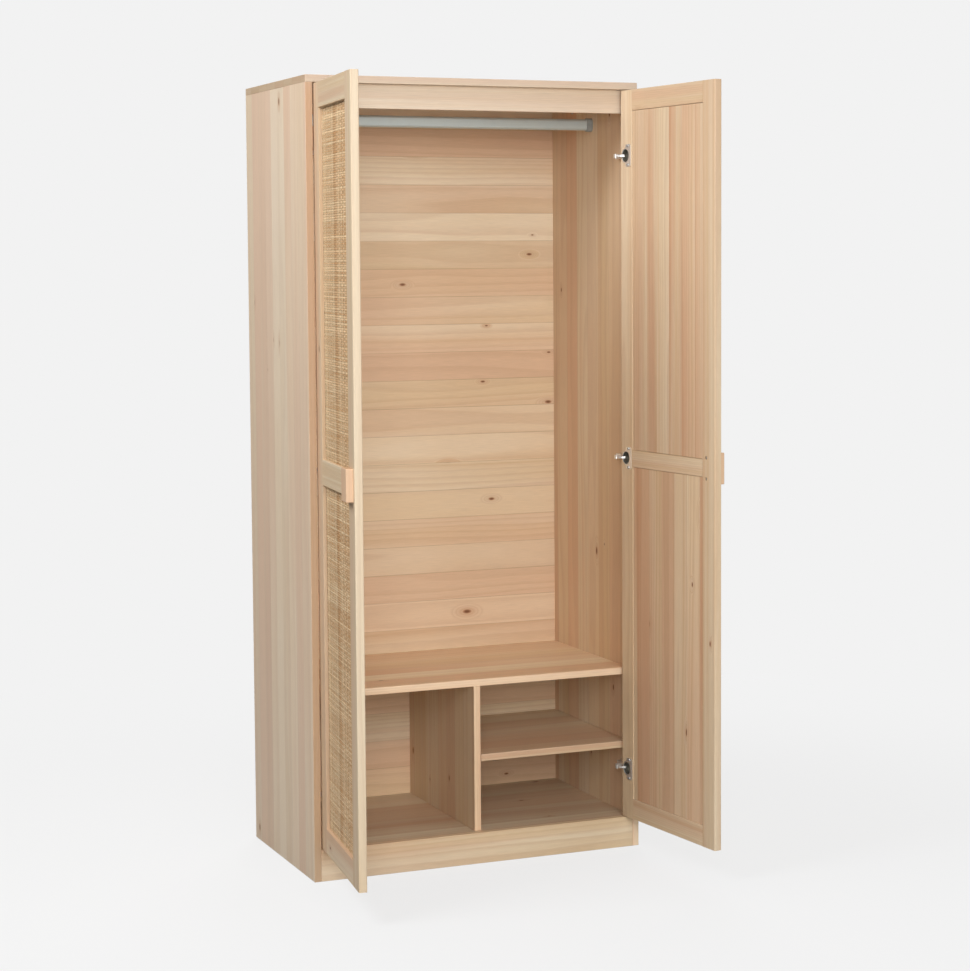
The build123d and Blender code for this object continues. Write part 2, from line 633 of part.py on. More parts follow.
# ---- door panels: a woven cane sheet in front, a board panel behind it ----
panel_x = (rail_back_x[0] + PANEL_PLAY, rail_back_x[1] - PANEL_PLAY)
panel_back_y = DOOR_LIP_BACK_Y + CANE_THICKNESS + PANEL_THICKNESS
panel_zs = {
    "upper": (rail_zs["mid_rail"][1][1] + PANEL_PLAY, rail_zs["top_rail"][1][0] - PANEL_PLAY),
    "lower": (rail_zs["bottom_rail"][1][1] + PANEL_PLAY, rail_zs["mid_rail"][1][0] - PANEL_PLAY),
}
for level_name, (panel_low_z, panel_high_z) in panel_zs.items():
    cane = board((panel_x[0], DOOR_LIP_BACK_Y, panel_low_z),
                 (panel_x[1], DOOR_LIP_BACK_Y + CANE_THICKNESS, panel_high_z))
    save_door_piece(cane, f"{level_name}_cane")
    backing = board((panel_x[0], DOOR_LIP_BACK_Y + CANE_THICKNESS, panel_low_z),
                    (panel_x[1], panel_back_y, panel_high_z))
    save_door_piece(backing, f"{level_name}_panel")
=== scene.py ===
"""Looks of a two-door softwood wardrobe with woven cane door panels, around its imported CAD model."""

import json
from math import cos, radians, sin

import bpy
import numpy as np
from mathutils import Matrix, Vector


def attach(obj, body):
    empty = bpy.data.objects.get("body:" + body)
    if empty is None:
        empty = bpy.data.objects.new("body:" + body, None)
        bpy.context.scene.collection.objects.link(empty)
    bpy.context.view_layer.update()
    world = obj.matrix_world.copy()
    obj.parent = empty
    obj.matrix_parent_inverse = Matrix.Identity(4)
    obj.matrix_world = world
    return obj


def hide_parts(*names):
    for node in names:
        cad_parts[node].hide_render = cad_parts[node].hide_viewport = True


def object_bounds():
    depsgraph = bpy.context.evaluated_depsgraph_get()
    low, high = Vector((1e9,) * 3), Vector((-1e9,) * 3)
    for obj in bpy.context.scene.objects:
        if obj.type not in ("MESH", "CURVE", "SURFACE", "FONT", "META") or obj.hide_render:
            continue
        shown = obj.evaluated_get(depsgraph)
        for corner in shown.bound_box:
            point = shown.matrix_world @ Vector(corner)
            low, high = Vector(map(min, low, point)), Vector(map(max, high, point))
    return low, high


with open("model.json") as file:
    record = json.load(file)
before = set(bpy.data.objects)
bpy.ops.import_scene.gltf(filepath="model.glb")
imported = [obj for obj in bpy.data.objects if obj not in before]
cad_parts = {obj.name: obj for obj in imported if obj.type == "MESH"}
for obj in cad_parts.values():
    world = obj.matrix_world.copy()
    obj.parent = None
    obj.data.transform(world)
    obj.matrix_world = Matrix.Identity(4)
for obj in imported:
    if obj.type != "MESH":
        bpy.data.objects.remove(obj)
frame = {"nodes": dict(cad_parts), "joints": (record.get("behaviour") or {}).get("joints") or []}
cad_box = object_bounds()


# ---- doors: how each one turns from closed to its place at rest ----
class DoorTurn:
    """The closed frame of a door: origin on its swing axis, x across the door, y to the rear."""

    def __init__(self, joint):
        self.pivot = Vector(joint["pos_m"])
        self.open_angle = -radians(joint["range_deg"][0]) * joint["axis"][2]
        self.opening = Matrix.Rotation(self.open_angle, 3, "Z")

    def closed(self, points):
        """Row-frame points, one per line, in the closed frame."""
        return (np.asarray(points) - np.array(self.pivot)) @ np.array(self.opening)

    def opened(self, points):
        """Closed-frame points, one per line, in the row frame."""
        return points @ np.array(self.opening).T + np.array(self.pivot)


TURNS = {
    joint["child"]: DoorTurn(joint)
    for joint in frame["joints"]
    if joint["child"] in ("left_door", "right_door")
}


def closed_box(node, body):
    """Lowest and highest corner of a door's CAD node in the closed frame."""
    corners = TURNS[body].closed([v.co for v in frame["nodes"][node].data.vertices])
    return corners.min(0), corners.max(0)


# ---- short names for building a material's nodes ----
class Nodes:
    """A new material's node tree, with a short call for each kind of node it needs."""

    def __init__(self, name):
        self.material = bpy.data.materials.new(name)
        self.material.use_nodes = True
        self.tree = self.material.node_tree
        self.tree.nodes.clear()

    def add(self, kind, inputs=(), **settings):
        node = self.tree.nodes.new("ShaderNode" + kind)
        for key, value in settings.items():
            setattr(node, key, value)
        for key, value in dict(inputs).items():
            self.feed(node.inputs[key], value)
        return node

    def feed(self, socket, value):
        if isinstance(value, bpy.types.NodeSocket):
            self.tree.links.new(value, socket)
        else:
            socket.default_value = value

    def math(self, operation, a, b=0.0, c=0.0):
        return self.add("Math", {0: a, 1: b, 2: c}, operation=operation).outputs[0]

    def mix(self, share, a, b, blend="MIX"):
        node = self.add("Mix", {0: share, 6: a, 7: b}, data_type="RGBA", blend_type=blend)
        return node.outputs[2]

    def vector(self, x, y, z):
        return self.add("CombineXYZ", {0: x, 1: y, 2: z}).outputs[0]

    def stretched(self, along, across, scale, third):
        """A noise position with its own number of cells to the metre along and across the grain."""
        return self.vector(self.math("MULTIPLY", along, scale[0]),
                           self.math("MULTIPLY", across, scale[1]), third)

    def parts(self, vector):
        return list(self.add("SeparateXYZ", {0: vector}).outputs)

    def noise(self, vector, detail=2.0, rough=0.5):
        inputs = {"Vector": vector, "Scale": 1.0, "Detail": detail, "Roughness": rough}
        return self.add("TexNoise", inputs).outputs[0]

    def random(self, value):
        """Three random numbers that stay the same for the same value."""
        colour = self.add("TexWhiteNoise", {"W": value}, noise_dimensions="1D").outputs["Color"]
        return self.parts(colour)

    def step(self, value, low, high, to_low=0.0, to_high=1.0):
        inputs = {0: value, 1: low, 2: high, 3: to_low, 4: to_high}
        return self.add("MapRange", inputs, interpolation_type="SMOOTHSTEP").outputs[0]

    def bump(self, height, distance, strength=1.0):
        inputs = {"Height": height, "Distance": distance, "Strength": strength}
        return self.add("Bump", inputs).outputs[0]

    def surface(self, colour, roughness, normal, **constants):
        shader = self.add("BsdfPrincipled", {"Base Color": colour, "Roughness": roughness,
                                             "Normal": normal})
        for key, value in constants.items():
            shader.inputs[key.replace("_", " ")].default_value = value
        output = self.add("OutputMaterial")
        self.tree.links.new(shader.outputs[0], output.inputs[0])
        return self.material


def srgb(red, green, blue):
    """A colour from 0-255 display values."""
    def linear(value):
        value /= 255
        return value / 12.92 if value <= 0.04045 else ((value + 0.055) / 1.055) ** 2.4
    return (linear(red), linear(green), linear(blue), 1.0)


# ---- softwood ----
SAPWOOD = srgb(234, 216, 188)
HONEY = srgb(224, 198, 161)
BLUSH = srgb(222, 188, 156)
HEARTWOOD = srgb(205, 152, 117)
LATEWOOD = srgb(186, 142, 104)
PALE = srgb(232, 214, 202)
TAN_GREEN = 0.05
TAN_BLUE = 0.1
KNOT = srgb(124, 84, 58)
KNOT_RIM = srgb(172, 120, 84)
# painted shade: the dark seen through the gaps of the cane weave
PAINTED_CANE_GAP_SHADE = srgb(92, 66, 42)
END_GRAIN = (0.80, 0.74, 0.66, 1.0)
SEAM = srgb(120, 84, 54)
KNOT_CELL = (0.19, 0.085)
KNOT_SWELL = 0.012
RING_SPACING = 0.0032
RING_SPACING_SPREAD = 0.003
WANDER_WIDTH = 0.014
# noise cells to the metre: (along the grain, across it)
WANDER_SCALE = (0.9, 9.0)
STREAK_SCALE = (0.4, 62.0)
BROAD_SCALE = (0.35, 17.0)
HEART_SCALE = (0.42, 27.0)
VEIN_SCALE = (0.7, 150.0)
FIBRE_ALONG = 22.0
FIBRE_ACROSS = 1100.0
GRAIN_BUMP = 0.00025
AXES = {"x": 0, "y": 1, "z": 2}
# tones multiplied onto the long narrow faces beside the boards: the first darker and pinker, the second
# brighter, a painted highlight of the light those faces catch
PEACH_EDGE = (0.80, 0.71, 0.64, 1.0)
PAINTED_EDGE_HIGHLIGHT = (1.22, 1.17, 1.13, 1.0)


def grain_points(n, turn, along, across):
    """A point's place along the grain, across the boards and through the board, in metres.

    Then how far the surface faces along each of the three, from 0 to 1."""
    coordinates = n.add("TexCoord")
    point, normal = coordinates.outputs["Object"], coordinates.outputs["Normal"]
    if turn:
        back = (0.0, 0.0, -turn.open_angle)
        shift = -(turn.opening.transposed() @ turn.pivot)
        point = n.add("Mapping", {"Vector": point, "Rotation": back, "Location": shift},
                      vector_type="POINT").outputs[0]
        normal = n.add("Mapping", {"Vector": normal, "Rotation": back}, vector_type="VECTOR").outputs[0]
    through = (set("xyz") - {along, across}).pop()
    order = [AXES[axis] for axis in (along, across, through)]
    point, normal = n.parts(point), n.parts(normal)
    return [point[i] for i in order], [n.math("ABSOLUTE", normal[i]) for i in order]


def softwood(name, along, across, board_width, seed, turn=None, warmth=0.5, knots=0.12, seams=0.3,
             contrast=1.0, painted_light_and_shade=1.0, pale=0.0, tan=0.0, edge=None, painted_shade_to=None):
    """Lacquered softwood. board_width is the width of the glued boards, or None for a single board.

    pale is the share of greyish pink bloom, and tan how far the wood has darkened to orange.
    edge multiplies the colour of the long narrow faces beside the boards: a darker, pinker tone on one
    panel, and above 1 a painted highlight. The argument after it is how far through the board a dark
    painted shade reaches from its front face: the shade that falls in the gaps of a cane sheet in front.
    The per-part tone multiplier is painted light and shade: painted shade below 1, painted light above 1."""
    n = Nodes(name)
    (g, a, t), (end_on, side_on, _) = grain_points(n, turn, along, across)
    if board_width:
        place = n.math("ADD", n.math("DIVIDE", a, board_width), seed * 0.37)
        board = n.math("FLOOR", place)
        in_board = n.math("SUBTRACT", n.math("FRACT", place), 0.5)
        to_seam = n.math("SUBTRACT", 0.5, n.math("ABSOLUTE", in_board))
        to_seam = n.math("MULTIPLY", to_seam, board_width)
        local = n.math("MULTIPLY", in_board, board_width)
        key = n.math("ADD", board, seed * 17.13)
    else:
        to_seam, local, key = None, a, seed * 17.13
    r1, r2, r3 = n.random(key)
    q1, q2, q3 = n.random(n.math("ADD", key, 0.5))
    shift = n.math("MULTIPLY", r1, 23.0)
    gs = n.math("ADD", g, shift)

    # knots, longer along the grain
    knot_at = n.vector(n.math("DIVIDE", gs, KNOT_CELL[0]), n.math("DIVIDE", a, KNOT_CELL[1]), 0.0)
    cells = n.add("TexVoronoi", {"Vector": knot_at, "Scale": 1.0, "Randomness": 0.75},
                  voronoi_dimensions="2D", feature="F1")
    chance, girth, _ = n.parts(cells.outputs["Color"])
    is_knot = n.math("LESS_THAN", chance, knots)
    knot_size = n.math("MULTIPLY_ADD", girth, 0.05, 0.022)
    knot_distance = n.math("DIVIDE", cells.outputs["Distance"], knot_size)
    knot = n.math("MULTIPLY", is_knot, n.step(knot_distance, 1.15, 0.75))
    knot_core = n.math("MULTIPLY", is_knot, n.step(knot_distance, 0.85, 0.35))
    knot_halo = n.math("MULTIPLY", is_knot, n.step(knot_distance, 4.2, 0.8))

    # slow wander of the grain lines, and their swell round a knot
    wander = n.noise(n.stretched(gs, a, WANDER_SCALE, shift), 2.0)
    wander = n.math("SUBTRACT", wander, 0.5)
    swell = n.math("MULTIPLY", knot_halo, KNOT_SWELL)
    drift = n.math("MULTIPLY_ADD", wander, WANDER_WIDTH, swell)

    # growth rings round a pith that lies outside the board
    pith_a = n.math("MULTIPLY", n.math("SUBTRACT", r2, 0.5), 0.16)
    pith_t = n.math("MULTIPLY_ADD", r3, 0.07, 0.035)
    ring_a = n.math("SUBTRACT", local, pith_a)
    ring_t = n.math("ADD", t, pith_t)
    radius = n.math("SQRT", n.math("ADD", n.math("MULTIPLY", ring_a, ring_a),
                                   n.math("MULTIPLY", ring_t, ring_t)))
    radius = n.math("ADD", radius, drift)
    spacing = n.math("MULTIPLY_ADD", q1, RING_SPACING_SPREAD, RING_SPACING)
    phase = n.math("FRACT", n.math("DIVIDE", radius, spacing))
    late = n.math("MULTIPLY", n.step(phase, 0.35, 0.88), n.step(phase, 1.0, 0.9))

    # broad streaks of colour that follow the rings
    streak = n.noise(n.stretched(gs, radius, STREAK_SCALE, shift), 4.0, 0.62)
    broad = n.noise(n.stretched(gs, radius, BROAD_SCALE, q2), 2.0, 0.5)
    heart = n.noise(n.stretched(gs, radius, HEART_SCALE, q3), 2.0, 0.6)

    colour = n.mix(n.step(n.math("MULTIPLY_ADD", r3, 0.16, streak), 0.42, 0.76), SAPWOOD, HONEY)
    blush = n.step(n.math("MULTIPLY_ADD", q1, 0.2, broad), 0.55 - 0.16 * warmth, 0.88 - 0.16 * warmth)
    colour = n.mix(blush, colour, BLUSH)
    heart = n.step(n.math("MULTIPLY_ADD", q2, 0.12, heart), 0.64 - 0.12 * warmth, 0.86 - 0.12 * warmth)
    colour = n.mix(n.math("MULTIPLY", heart, 0.7 * contrast), colour, HEARTWOOD)
    colour = n.mix(n.math("MULTIPLY", late, 0.26 * contrast), colour, LATEWOOD)
    vein = n.step(n.noise(n.stretched(gs, radius, VEIN_SCALE, q1), 3.0, 0.6), 0.52, 0.74, 0.0, 0.4)
    colour = n.mix(vein, colour, BLUSH)
    colour = n.mix(pale, colour, PALE)

    # fibres and pores, fine lines along the grain
    fibre_at = n.vector(n.math("MULTIPLY", g, FIBRE_ALONG), n.math("MULTIPLY", a, FIBRE_ACROSS),
                        n.math("MULTIPLY", t, FIBRE_ACROSS))
    fibre = n.noise(fibre_at, 2.0, 0.6)
    shade = n.step(fibre, 0.3, 0.72, 0.93, 1.03)
    tone = n.math("MULTIPLY", shade, n.math("MULTIPLY_ADD", q3, 0.10 * contrast, 1.0 - 0.07 * contrast))
    # painted light and shade: each part's whole colour made darker or lighter for the light it gets
    tone = n.math("MULTIPLY", tone, painted_light_and_shade)
    aged = n.vector(tone, n.math("MULTIPLY", tone, 1 - TAN_GREEN * tan),
                    n.math("MULTIPLY", tone, 1 - TAN_BLUE * tan))
    colour = n.mix(1.0, colour, aged, "MULTIPLY")
    if edge:
        # the long narrow faces beside the boards take the edge tone; above 1 it is a painted highlight
        colour = n.mix(n.step(side_on, 0.75, 0.95), colour, n.mix(1.0, colour, edge, "MULTIPLY"))

    colour = n.mix(n.math("MULTIPLY", knot_halo, 0.2), colour, KNOT_RIM)
    colour = n.mix(n.math("MULTIPLY", knot, 0.8), colour, KNOT_RIM)
    colour = n.mix(knot_core, colour, KNOT)

    # painted shade: the front face of a panel behind the cane darkened for the shade in the weave's gaps
    if painted_shade_to is not None:
        colour = n.mix(n.math("MULTIPLY", n.math("LESS_THAN", t, painted_shade_to), 0.85), colour, PAINTED_CANE_GAP_SHADE)
    ends = n.step(end_on, 0.75, 0.95)
    colour = n.mix(ends, colour, n.mix(1.0, colour, END_GRAIN, "MULTIPLY"))
    height = n.math("MULTIPLY_ADD", late, 0.35, n.math("MULTIPLY", fibre, 0.8))
    height = n.math("SUBTRACT", height, n.math("MULTIPLY", knot_core, 0.5))
    if to_seam:
        gate = n.noise(n.vector(n.math("MULTIPLY", g, 2.2), n.math("MULTIPLY", board, 5.1), seed), 2.0)
        seam = n.math("MULTIPLY", n.step(to_seam, 0.0011, 0.0004), n.step(gate, 0.36, 0.6, 0.3, 1.0))
        colour = n.mix(n.math("MULTIPLY", seam, seams), colour, SEAM)
        height = n.math("SUBTRACT", height, n.math("MULTIPLY", seam, 1.2))

    roughness = n.math("MULTIPLY_ADD", fibre, 0.16, 0.42)
    roughness = n.math("ADD", roughness, n.math("MULTIPLY", ends, 0.15))
    roughness = n.math("SUBTRACT", roughness, n.math("MULTIPLY", late, 0.05))
    return n.surface(colour, roughness, n.bump(height, GRAIN_BUMP, 0.6), Specular_IOR_Level=0.35)


# ---- other finishes ----
# painted shade for the inside of a hinge cup's recess, and the depth over which it fades in
PAINTED_CUP_SHADE = (0.28, 0.27, 0.24, 1.0)
CUP_SHADE_FADE = 0.0012
NICKEL = ((0.93, 0.92, 0.89, 1), (0.78, 0.76, 0.72, 1), (90, 900, 900), 0.24, 0.75)
ZINC = ((0.66, 0.67, 0.68, 1), (0.44, 0.45, 0.46, 1), (500, 500, 500), 0.28)
ALUMINIUM = ((0.62, 0.70, 0.69, 1), (0.55, 0.62, 0.61, 1), (3, 1600, 1600), 0.45, 0.55)
GREY_PLASTIC = ((0.36, 0.38, 0.37, 1), (0.28, 0.30, 0.29, 1))


def metal(name, colour, dull, stretch, roughness, metallic=1.0, hollow=None):
    """Plated or anodised metal with fine drawn lines and faint smudges.

    stretch is the number of lines to the metre along x, y and z.

    hollow is (door turn, y on the closed door): to the front of that y the metal is darkened, a painted
    shade in the hinge cup's recess."""
    n = Nodes(name)
    point = n.add("TexCoord").outputs["Object"]
    lines_at = n.add("Mapping", {"Vector": point, "Scale": stretch}, vector_type="POINT").outputs[0]
    lines = n.noise(lines_at, 3.0, 0.6)
    smudge = n.noise(n.add("Mapping", {"Vector": point, "Scale": (60, 60, 60)}).outputs[0], 3.0)
    shade = n.mix(n.step(lines, 0.3, 0.7), dull, colour)
    shade = n.mix(n.step(smudge, 0.55, 0.75, 0.0, 0.35), shade, dull)
    if hollow:
        turn, depth = hollow
        (rearward, _, _), _ = grain_points(n, turn, "y", "x")
        # painted shade: metal inside the cup's recess darkened
        cup_shade = n.step(rearward, depth, depth - CUP_SHADE_FADE)
        shade = n.mix(cup_shade, shade, n.mix(1.0, shade, PAINTED_CUP_SHADE, "MULTIPLY"))
    rough = n.math("MULTIPLY_ADD", smudge, 0.16, n.math("MULTIPLY_ADD", lines, 0.12, roughness))
    return n.surface(shade, rough, n.bump(lines, 0.00005, 0.4), Metallic=metallic)


def plastic(name, colour, dull):
    """Moulded plastic with a fine spark-eroded grain."""
    n = Nodes(name)
    point = n.add("TexCoord").outputs["Object"]
    grain = n.noise(n.add("Mapping", {"Vector": point, "Scale": (1800, 1800, 1800)}).outputs[0], 2.0)
    cloud = n.noise(n.add("Mapping", {"Vector": point, "Scale": (45, 45, 45)}).outputs[0], 3.0)
    shade = n.mix(n.step(n.math("ADD", cloud, n.math("MULTIPLY", grain, 0.4)), 0.5, 0.9), dull, colour)
    rough = n.math("MULTIPLY_ADD", cloud, 0.14, n.math("MULTIPLY_ADD", grain, 0.12, 0.34))
    return n.surface(shade, rough, n.bump(grain, 0.00006, 0.5))


def beech(name):
    """Plain beech with short dark flecks."""
    n = Nodes(name)
    point = n.add("TexCoord").outputs["Object"]
    body = n.noise(n.add("Mapping", {"Vector": point, "Scale": (30, 160, 160)}).outputs[0], 3.0)
    fleck = n.noise(n.add("Mapping", {"Vector": point, "Scale": (260, 1500, 1500)}).outputs[0], 1.0)
    shade = n.mix(n.step(body, 0.3, 0.7), srgb(214, 170, 120), srgb(232, 196, 150))
    shade = n.mix(n.step(fleck, 0.62, 0.72, 0.0, 0.6), shade, srgb(150, 100, 60))
    return n.surface(shade, n.math("MULTIPLY_ADD", fleck, 0.2, 0.5), n.bump(fleck, 0.0001, 0.5))


def cane():
    """Peeled cane, by each strand's own coordinates: metres along it, metres across it, its number."""
    n = Nodes("woven_cane")
    along, across, number = n.parts(n.add("Attribute", attribute_name="strand").outputs["Vector"])
    r1, r2, r3 = n.random(number)
    start = n.math("MULTIPLY_ADD", r1, 50.0, along)
    length_tone = n.noise(n.vector(n.math("MULTIPLY", start, 9.0), number, 0.0), 3.0, 0.6)
    fibre_at = n.vector(n.math("MULTIPLY", start, 130.0), n.math("MULTIPLY", across, 5200.0), number)
    fibre = n.noise(fibre_at, 2.0, 0.6)
    fleck_at = n.vector(n.math("MULTIPLY", start, 420.0), n.math("MULTIPLY", across, 2400.0), r2)
    fleck = n.noise(fleck_at, 1.0)
    colour = n.mix(n.step(n.math("MULTIPLY_ADD", r2, 0.5, length_tone), 0.45, 1.0),
                   srgb(255, 230, 188), srgb(204, 154, 104))
    colour = n.mix(n.step(fibre, 0.45, 0.75, 0.0, 0.5), colour, srgb(172, 124, 78))
    colour = n.mix(n.step(fleck, 0.66, 0.76, 0.0, 0.55), colour, srgb(112, 74, 42))
    edge = n.step(n.math("ABSOLUTE", across), 0.0009, 0.0021, 0.0, 0.45)
    colour = n.mix(edge, colour, srgb(132, 92, 54))
    own = n.math("MULTIPLY_ADD", r3, 0.22, 0.87)
    colour = n.mix(1.0, colour, n.vector(own, own, own), "MULTIPLY")
    rough = n.math("MULTIPLY_ADD", fibre, 0.22, n.math("MULTIPLY_ADD", r3, 0.1, 0.36))
    return n.surface(colour, rough, n.bump(fibre, 0.00012, 0.6), Specular_IOR_Level=0.45)


# ---- woven cane sheets, strand by strand ----
CANE_PITCH = 0.0057
STRAND_WIDTH = 0.0040
WEAVE_RISE = 0.00045
STRAND_CROWN = 0.00045
FLAT_SHARE = 0.22
SWAY = 0.00028
STRAY = 0.00025
WIDTH_RANGE = (0.8, 1.08)
SWELL = 0.1
BENDS = (5, 60)
SWELLS = (15, 45)


def strand_line(length, crossings, over_first):
    """Places along a strand, and how far it rises to the front there, going over and under."""
    pitch = length / crossings
    along, rise = [0.0], [0.0]
    for i in range(crossings):
        up = 1.0 if (i + over_first) % 2 else -1.0
        middle = (i + 0.5) * pitch
        along += [middle - FLAT_SHARE * pitch, middle + FLAT_SHARE * pitch]
        rise += [up * WEAVE_RISE, up * WEAVE_RISE]
    return np.array(along + [length]), np.array(rise + [0.0])


def weave(low, high, seed):
    """Vertices, faces and strand coordinates of a plain weave that fills a box, facing -y."""
    rng = np.random.default_rng(seed)
    size = high - low
    middle_y = (low[1] + high[1]) / 2
    counts = [round(size[0] / CANE_PITCH), round(size[2] / CANE_PITCH)]
    verts, faces, strands = [], [], []
    start = 0
    # 0: strands along x, side by side up z. 1: strands along z, side by side along x.
    for run, (axis, other) in enumerate(((0, 2), (2, 0))):
        many, crossings = (counts[1], counts[0]) if run == 0 else (counts[0], counts[1])
        step = size[other] / many
        for k in range(many):
            along, rise = strand_line(size[axis], crossings, k + run)
            width = STRAND_WIDTH * rng.uniform(*WIDTH_RANGE)
            sway = sum(
                rng.uniform(0.0, SWAY) * np.sin(along * rng.uniform(*BENDS) + rng.uniform(0, 6.3))
                for _ in range(2)
            )
            centre = low[other] + (k + 0.5) * step + sway + rng.uniform(-1, 1) * STRAY
            centre = np.clip(centre, low[other] + width / 2, high[other] - width / 2)
            swell = 1 + SWELL * np.sin(along * rng.uniform(*SWELLS) + rng.uniform(0, 6.3))
            points = np.zeros((len(along), 3, 3))
            for j, side in enumerate((-0.5, 0.0, 0.5)):
                points[:, j, axis] = low[axis] + along
                points[:, j, other] = np.clip(centre + side * width * swell, low[other], high[other])
                crown = STRAND_CROWN if side else -STRAND_CROWN * 0.4
                points[:, j, 1] = middle_y - rise + crown
            verts.append(points.reshape(-1, 3))
            number = np.full(len(along) * 3, k + 1000.0 * run + seed)
            across = np.tile(np.array((-0.5, 0.0, 0.5)) * width, len(along))
            strands.append(np.stack((np.repeat(along, 3), across, number), 1))
            first = start + 3 * np.arange(len(along) - 1)[:, None] + np.arange(2)[None, :]
            first = first.reshape(-1)
            quad = np.stack((first, first + 1, first + 4, first + 3), 1)
            faces.append(quad if run else quad[:, ::-1])
            start += len(along) * 3
    verts = np.concatenate(verts)
    verts[:, 1] = np.clip(verts[:, 1], low[1], high[1])
    return verts, np.concatenate(faces), np.concatenate(strands)


def cane_sheet(node, body, seed, material):
    """A woven sheet in the place of a door's plain cane node."""
    turn = TURNS[body]
    verts, faces, strands = weave(*closed_box(node, body), seed)
    mesh = bpy.data.meshes.new(node + "_weave")
    mesh.from_pydata(turn.opened(verts).tolist(), [], faces.tolist())
    mesh.polygons.foreach_set("use_smooth", [True] * len(mesh.polygons))
    mesh.attributes.new("strand", "FLOAT_VECTOR", "POINT").data.foreach_set("vector", strands.ravel())
    mesh.materials.append(material)
    mesh.update()
    sheet = bpy.data.objects.new(node + "_weave", mesh)
    bpy.context.scene.collection.objects.link(sheet)
    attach(sheet, body)
    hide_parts(node)


# ---- materials onto the CAD nodes ----
def paint(node, material):
    slots = frame["nodes"][node].data.materials
    slots.clear()
    slots.append(material)


# node: (grain axis, axis across the boards, board width, options)
# a part's tone option below is painted light and shade: painted shade below 1, painted light above 1
CARCASS_WOOD = {
    "left_side_panel": ("z", "y", 0.054, {"warmth": 0.55, "seams": 0.1, "contrast": 0.5, "pale": 0.24,
                                          "tan": 0.2, "edge": PEACH_EDGE}),
    "right_side_panel": ("z", "y", 0.066, {"warmth": 0.6, "seams": 0.2, "contrast": 0.7, "tan": 0.2,
                                           "edge": PAINTED_EDGE_HIGHLIGHT}),
    "top_panel": ("x", "y", 0.07, {"warmth": 0.1, "knots": 0.06, "contrast": 0.6, "pale": 0.3,
                                   "painted_light_and_shade": 0.87}),
    "bottom_board": ("x", "y", 0.07, {"contrast": 0.7, "painted_light_and_shade": 0.85}),
    "mid_shelf": ("x", "y", 0.075, {"warmth": 0.6, "knots": 0.03, "contrast": 0.5, "painted_light_and_shade": 1.18}),
    "half_shelf": ("x", "y", 0.075, {"warmth": 0.5, "knots": 0.03, "contrast": 0.6,
                                     "painted_light_and_shade": 0.95}),
    "divider": ("z", "y", 0.06, {"warmth": 0.5, "contrast": 0.6, "painted_light_and_shade": 0.88,
                                 "edge": PAINTED_EDGE_HIGHLIGHT}),
    "back_panel": ("x", "z", 0.076, {"warmth": 0.5, "seams": 0.4, "contrast": 0.7, "tan": 0.2}),
    "plinth_front": ("x", "z", None, {"warmth": 0.35, "knots": 0.03, "contrast": 0.7}),
    "plinth_back": ("x", "z", None, {}),
    "plinth_brace": ("y", "z", None, {}),
    "front_top_rail": ("x", "z", None, {"warmth": 0.1, "knots": 0.0, "contrast": 0.6, "pale": 0.3,
                                        "painted_light_and_shade": 0.92}),
}
# door piece: (grain axis, axis across the boards, board width, options), on the closed door
# the door pieces' tone options are painted light and shade as well
DOOR_WOOD = {
    "hinge_stile": ("z", "x", None, {"warmth": 0.4, "knots": 0.05, "contrast": 0.6, "tan": 0.4,
                                     "painted_light_and_shade": 0.95}),
    "free_stile": ("z", "x", None, {"warmth": 0.5, "knots": 0.12, "contrast": 0.6, "tan": 0.5,
                                    "painted_light_and_shade": 0.9}),
    "top_rail": ("x", "z", None, {"warmth": 0.4, "knots": 0.06, "contrast": 0.6, "tan": 0.3,
                                  "painted_light_and_shade": 0.93}),
    "mid_rail": ("x", "z", None, {"warmth": 0.4, "knots": 0.2, "contrast": 0.6, "tan": 0.4,
                                  "painted_light_and_shade": 0.95}),
    "bottom_rail": ("x", "z", None, {"warmth": 0.4, "knots": 0.05, "contrast": 0.6, "tan": 0.4,
                                     "painted_light_and_shade": 0.95}),
    "upper_panel": ("z", "x", 0.058, {"warmth": 0.8, "seams": 0.15, "contrast": 0.95, "tan": 0.5,
                                      "painted_light_and_shade": 0.9}),
    "lower_panel": ("z", "x", 0.058, {"warmth": 0.8, "seams": 0.15, "contrast": 0.95, "tan": 0.5,
                                      "painted_light_and_shade": 0.96}),
    "handle": ("z", "x", None, {"warmth": 1.3, "knots": 0.0, "contrast": 0.4, "tan": 0.5}),
}
# how deep the painted shade of the cane gaps reaches into a panel's front face
PAINTED_SHADE_DEPTH = 0.0004
DOOR_SEEDS = ((40, "left_door"), (70, "right_door"))
FIRST_CANE_SEED = 3
for seed, (node, (along, across, width, options)) in enumerate(CARCASS_WOOD.items(), 1):
    paint(node, softwood(node, along, across, width, seed, **options))
for side_seed, body in DOOR_SEEDS:
    for seed, (piece, (along, across, width, options)) in enumerate(DOOR_WOOD.items(), side_seed):
        node = f"{body}_{piece}"
        if piece.endswith("_panel"):
            # the panels behind the cane get the painted shade of the cane's gaps on their front face
            options = dict(options, painted_shade_to=closed_box(node, body)[0][1] + PAINTED_SHADE_DEPTH)
        paint(node, softwood(node, along, across, width, seed, turn=TURNS[body], **options))

FINISHES = {
    "nickel_steel": metal("nickel", *NICKEL),
    "zinc_steel": metal("zinc", *ZINC),
    "satin_aluminium": metal("aluminium", *ALUMINIUM),
    "grey_plastic": plastic("plastic", *GREY_PLASTIC),
    "beech": beech("beech_dowel"),
}
for node, thing in frame["nodes"].items():
    finish = FINISHES.get(thing.data.materials[0].name)
    if finish:
        paint(node, finish)
for body, turn in TURNS.items():
    # each door's hinge cups get painted shade in their recess, below the stile's inner face
    inner_face = closed_box(f"{body}_hinge_stile", body)[1][1]
    cup = metal(f"{body}_cup_nickel", *NICKEL, hollow=(turn, inner_face))
    paint(f"{body}_hinge_cups", cup)

